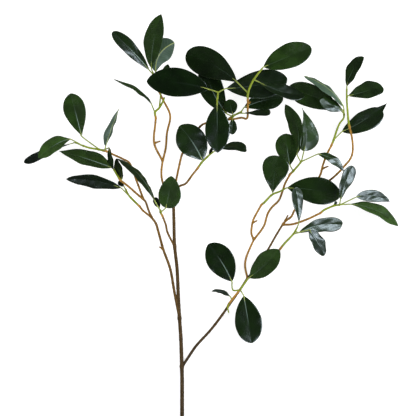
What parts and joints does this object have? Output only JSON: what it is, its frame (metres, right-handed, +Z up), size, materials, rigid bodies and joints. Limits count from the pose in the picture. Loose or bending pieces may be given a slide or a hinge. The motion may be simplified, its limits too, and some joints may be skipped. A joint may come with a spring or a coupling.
{
  "type": "ficus branch",
  "caption": "Cut ficus branch lying flat: a brown stem that forks into thin twigs, each ending in a green shoot with oval, pointed, dark green leaves",
  "frame": {"origin": "middle of the bounding box, on the surface that the branch lies on", "axes": "+Y from the cut end of the stem to the tips, +X to the right branch, +Z up, away from the surface"},
  "size_m": [0.6017, 0.6903, 0.1111],
  "materials": {
    "bark": "matte brown bark, greyer on the stem, orange-brown on the twigs",
    "shoot": "satin yellow-green shoots and leaf stalks",
    "leaf": "satin dark green, greyer green underneath, pale rib"
  },
  "bodies": {
    "root": {"woody_branch": "bark", "spray_left_tip": "leaf", "spray_left_middle": "leaf", "spray_left_low": "leaf", "spray_inner": "leaf", "spray_top_stalk": "leaf", "spray_top_left": "leaf", "spray_right_of_stem": "leaf", "spray_fork": "leaf", "spray_crown_low": "leaf", "spray_crown": "leaf", "spray_right_upper": "leaf", "spray_right_top": "leaf", "spray_right_middle": "leaf", "spray_right_inner": "leaf", "spray_right_low": "leaf", "spray_right_cross": "leaf", "spray_right_base": "leaf"}
  },
  "joints": []
}
